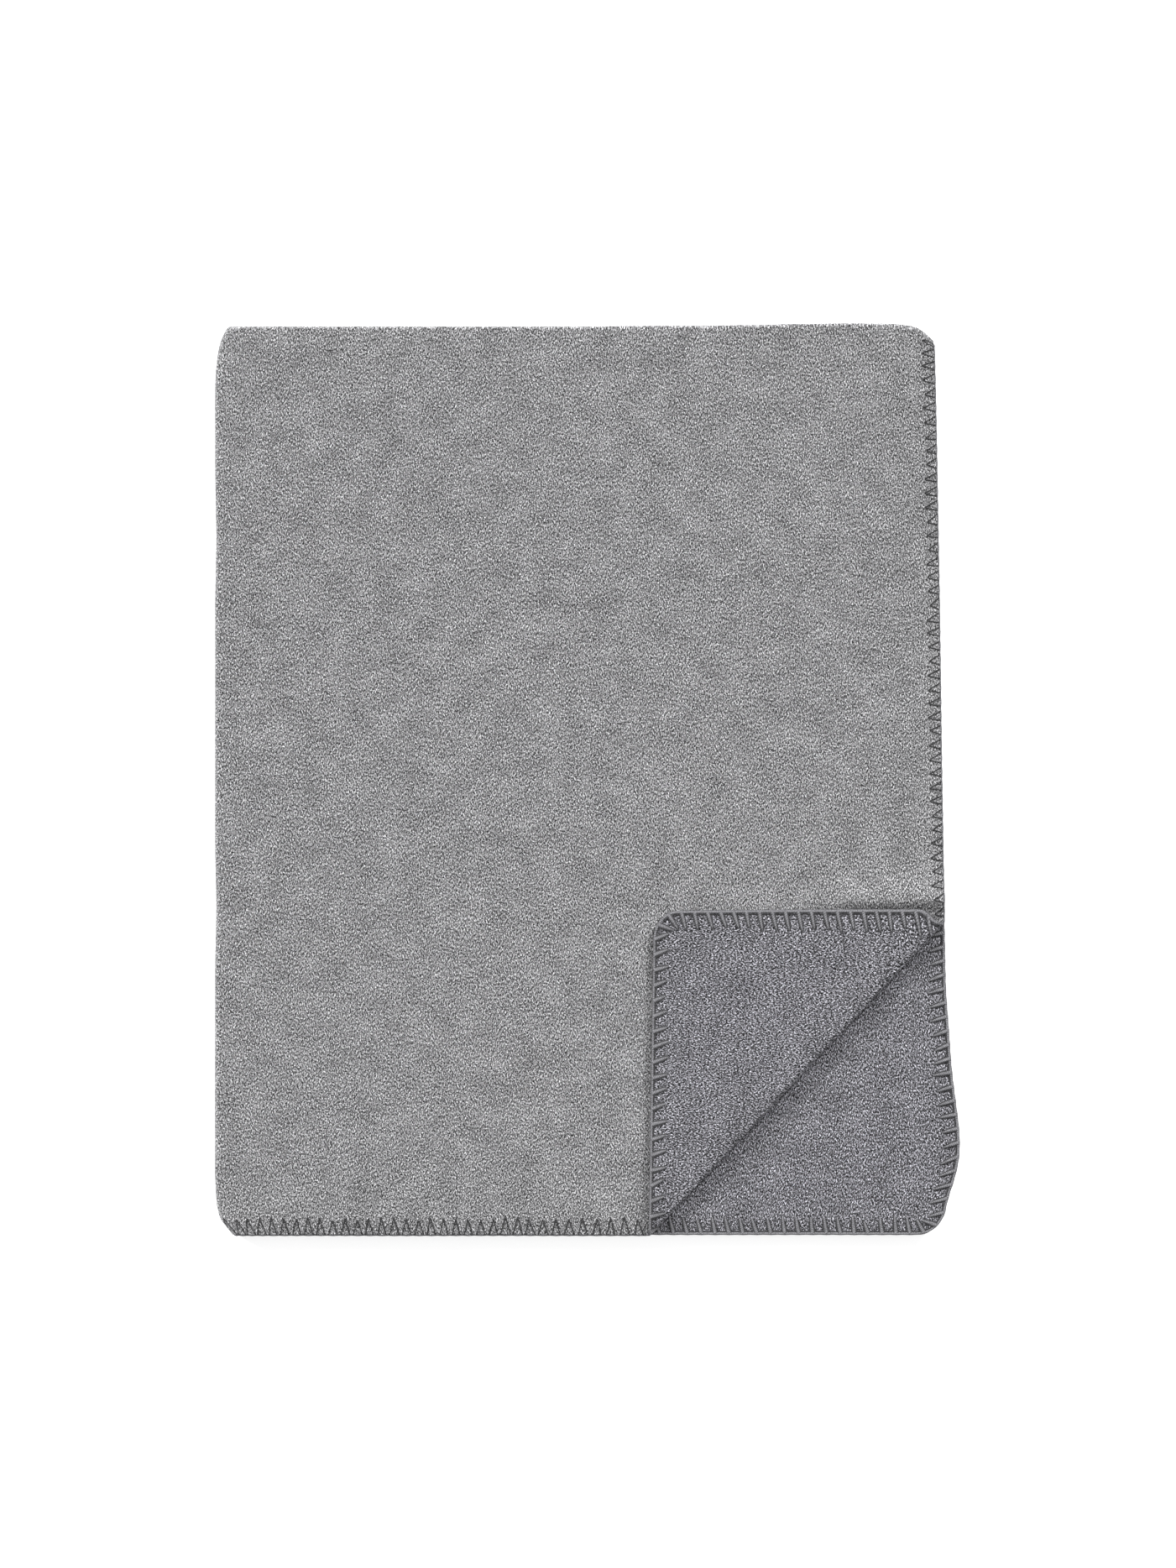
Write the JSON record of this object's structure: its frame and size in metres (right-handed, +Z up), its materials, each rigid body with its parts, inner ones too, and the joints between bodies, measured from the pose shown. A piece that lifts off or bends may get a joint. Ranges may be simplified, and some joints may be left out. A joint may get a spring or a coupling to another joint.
{
  "type": "folded throw blanket",
  "caption": "Two-sided wool-look throw folded in half twice, with one corner of its top layer turned back and a stitched yarn edge; it opens at its side fold.",
  "frame": {"origin": "on the floor, under the middle of the folded stack's outline", "axes": "+X from the side fold towards the free side edges, +Y from the free foot edges towards the head folds, +Z up through the layers"},
  "size_m": [0.6138, 0.752, 0.0176],
  "materials": {
    "face_cloth": "matte",
    "reverse_cloth": "matte",
    "edging_yarn": "matte"
  },
  "bodies": {
    "lower_half": {"bottom_ply": "face_cloth", "third_ply": "face_cloth", "lower_head_fold": "face_cloth", "outer_side_fold": "face_cloth", "inner_side_fold": "face_cloth", "bottom_ply_side_edging": "edging_yarn", "bottom_ply_foot_edging": "edging_yarn", "third_ply_side_edging": "edging_yarn", "third_ply_foot_edging": "edging_yarn", "lower_head_fold_edging": "edging_yarn", "outer_side_fold_edging": "edging_yarn", "inner_side_fold_edging": "edging_yarn"},
    "upper_half": {"second_ply": "reverse_cloth", "top_ply": "face_cloth", "upper_head_fold": "face_cloth", "corner_crease": "face_cloth", "second_ply_side_edging": "edging_yarn", "second_ply_foot_edging": "edging_yarn", "top_ply_side_edging": "edging_yarn", "top_ply_foot_edging": "edging_yarn", "upper_head_fold_edging": "edging_yarn"},
    "turned_back_corner": {"turned_corner": "reverse_cloth", "turned_corner_head_edging": "edging_yarn", "turned_corner_side_edging": "edging_yarn"}
  },
  "joints": [
    {"name": "book_fold", "type": "hinge", "parent": "lower_half", "child": "upper_half", "pos_m": [-0.2999, 0, 0.007], "axis": [0, -1, 0], "range_deg": [0, 178], "deforming": ["outer_side_fold", "inner_side_fold", "outer_side_fold_edging", "inner_side_fold_edging"]},
    {"name": "corner_fold", "type": "hinge", "parent": "upper_half", "child": "turned_back_corner", "pos_m": [0.1721, -0.2475, 0.0142], "axis": [0.6855, 0.728, 0], "range_deg": [0, 180], "deforming": ["corner_crease"]}
  ]
}
